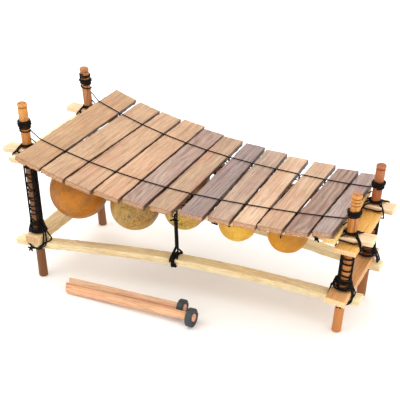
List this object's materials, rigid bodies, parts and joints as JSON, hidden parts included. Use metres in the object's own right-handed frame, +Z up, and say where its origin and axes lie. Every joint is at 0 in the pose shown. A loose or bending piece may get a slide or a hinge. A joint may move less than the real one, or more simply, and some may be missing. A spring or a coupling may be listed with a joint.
{
  "type": "balafon",
  "caption": "Wooden bar percussion: graded keys slung on cords over gourd resonators in a lashed frame on four round posts, with two rubber-tipped mallets.",
  "frame": {"origin": "on the floor, under the middle of the length and of the width", "axes": "+X to the treble end, -Y to the player, +Z up"},
  "size_m": [0.815, 0.4405, 0.411],
  "materials": {
    "key_wood": "planed hardwood, fine lengthwise grain, waxed",
    "post_wood": "turned round stick, smooth, orange-brown",
    "rail_wood": "pale sawn lath, straw yellow",
    "plank_wood": "sawn board, orange-tan",
    "handle_wood": "whittled stick, bare pinkish wood",
    "gourd_shell": "dried calabash shell, dull sheen, amber",
    "cord": "black twisted cord",
    "rubber": "black rubber strip, matt"
  },
  "bodies": {
    "frame": {"bass_front_post": "post_wood", "bass_back_post": "post_wood", "treble_front_post": "post_wood", "treble_back_post": "post_wood", "upper_front_rail": "rail_wood", "lower_front_rail": "rail_wood", "upper_back_rail": "rail_wood", "lower_back_rail": "rail_wood", "upper_bass_plank": "plank_wood", "upper_treble_plank": "plank_wood", "lower_bass_plank": "plank_wood", "lower_treble_plank": "plank_wood", "treble_spreader": "plank_wood", "front_over_cord": "cord", "front_under_cord": "cord", "back_over_cord": "cord", "back_under_cord": "cord", "bass_front_winding": "cord", "bass_back_winding": "cord", "treble_front_winding": "cord", "treble_back_winding": "cord", "bass_front_ring": "cord", "bass_back_ring": "cord", "treble_front_ring": "cord", "treble_back_ring": "cord", "bass_front_lashing": "cord", "bass_back_lashing": "cord", "treble_front_lashing": "cord", "treble_back_lashing": "cord", "front_gourd_1": "gourd_shell", "front_gourd_2": "gourd_shell", "front_gourd_3": "gourd_shell", "front_gourd_4": "gourd_shell", "front_gourd_5": "gourd_shell", "front_gourd_cord": "cord", "back_gourd_1": "gourd_shell", "back_gourd_2": "gourd_shell", "back_gourd_3": "gourd_shell", "back_gourd_4": "gourd_shell", "back_gourd_5": "gourd_shell", "back_gourd_cord": "cord", "front_mid_strap": "cord", "back_mid_strap": "cord"},
    "key_01": {"key_01": "key_wood"},
    "key_02": {"key_02": "key_wood"},
    "key_03": {"key_03": "key_wood"},
    "key_04": {"key_04": "key_wood"},
    "key_05": {"key_05": "key_wood"},
    "key_06": {"key_06": "key_wood"},
    "key_07": {"key_07": "key_wood"},
    "key_08": {"key_08": "key_wood"},
    "key_09": {"key_09": "key_wood"},
    "key_10": {"key_10": "key_wood"},
    "key_11": {"key_11": "key_wood"},
    "key_12": {"key_12": "key_wood"},
    "front_mallet": {"front_mallet_handle": "handle_wood", "front_mallet_head": "rubber"},
    "rear_mallet": {"rear_mallet_handle": "handle_wood", "rear_mallet_head": "rubber"}
  },
  "joints": [
    {"name": "key_01_give", "type": "slide", "parent": "frame", "child": "key_01", "axis": [0, 0, 1], "range_m": [-0.003, 0], "stiffness_N_per_m": 8000, "deforming": ["front_under_cord", "back_under_cord"]},
    {"name": "key_02_give", "type": "slide", "parent": "frame", "child": "key_02", "axis": [0, 0, 1], "range_m": [-0.003, 0], "stiffness_N_per_m": 8000, "deforming": ["front_under_cord", "back_under_cord"]},
    {"name": "key_03_give", "type": "slide", "parent": "frame", "child": "key_03", "axis": [0, 0, 1], "range_m": [-0.003, 0], "stiffness_N_per_m": 8000, "deforming": ["front_under_cord", "back_under_cord"]},
    {"name": "key_04_give", "type": "slide", "parent": "frame", "child": "key_04", "axis": [0, 0, 1], "range_m": [-0.003, 0], "stiffness_N_per_m": 8000, "deforming": ["front_under_cord", "back_under_cord"]},
    {"name": "key_05_give", "type": "slide", "parent": "frame", "child": "key_05", "axis": [0, 0, 1], "range_m": [-0.003, 0], "stiffness_N_per_m": 8000, "deforming": ["front_under_cord", "back_under_cord"]},
    {"name": "key_06_give", "type": "slide", "parent": "frame", "child": "key_06", "axis": [0, 0, 1], "range_m": [-0.003, 0], "stiffness_N_per_m": 8000, "deforming": ["front_under_cord", "back_under_cord"]},
    {"name": "key_07_give", "type": "slide", "parent": "frame", "child": "key_07", "axis": [0, 0, 1], "range_m": [-0.003, 0], "stiffness_N_per_m": 8000, "deforming": ["front_under_cord", "back_under_cord"]},
    {"name": "key_08_give", "type": "slide", "parent": "frame", "child": "key_08", "axis": [0, 0, 1], "range_m": [-0.003, 0], "stiffness_N_per_m": 8000, "deforming": ["front_under_cord", "back_under_cord"]},
    {"name": "key_09_give", "type": "slide", "parent": "frame", "child": "key_09", "axis": [0, 0, 1], "range_m": [-0.003, 0], "stiffness_N_per_m": 8000, "deforming": ["front_under_cord", "back_under_cord"]},
    {"name": "key_10_give", "type": "slide", "parent": "frame", "child": "key_10", "axis": [0, 0, 1], "range_m": [-0.003, 0], "stiffness_N_per_m": 8000, "deforming": ["front_under_cord", "back_under_cord"]},
    {"name": "key_11_give", "type": "slide", "parent": "frame", "child": "key_11", "axis": [0, 0, 1], "range_m": [-0.003, 0], "stiffness_N_per_m": 8000, "deforming": ["front_under_cord", "back_under_cord"]},
    {"name": "key_12_give", "type": "slide", "parent": "frame", "child": "key_12", "axis": [0, 0, 1], "range_m": [-0.003, 0], "stiffness_N_per_m": 8000, "deforming": ["front_under_cord", "back_under_cord"]},
    {"name": "front_mallet_lift", "type": "slide", "parent": "frame", "child": "front_mallet", "axis": [0, 0, 1], "range_m": [0, 0.03]},
    {"name": "rear_mallet_lift", "type": "slide", "parent": "frame", "child": "rear_mallet", "axis": [0, 0, 1], "range_m": [0, 0.03]}
  ]
}
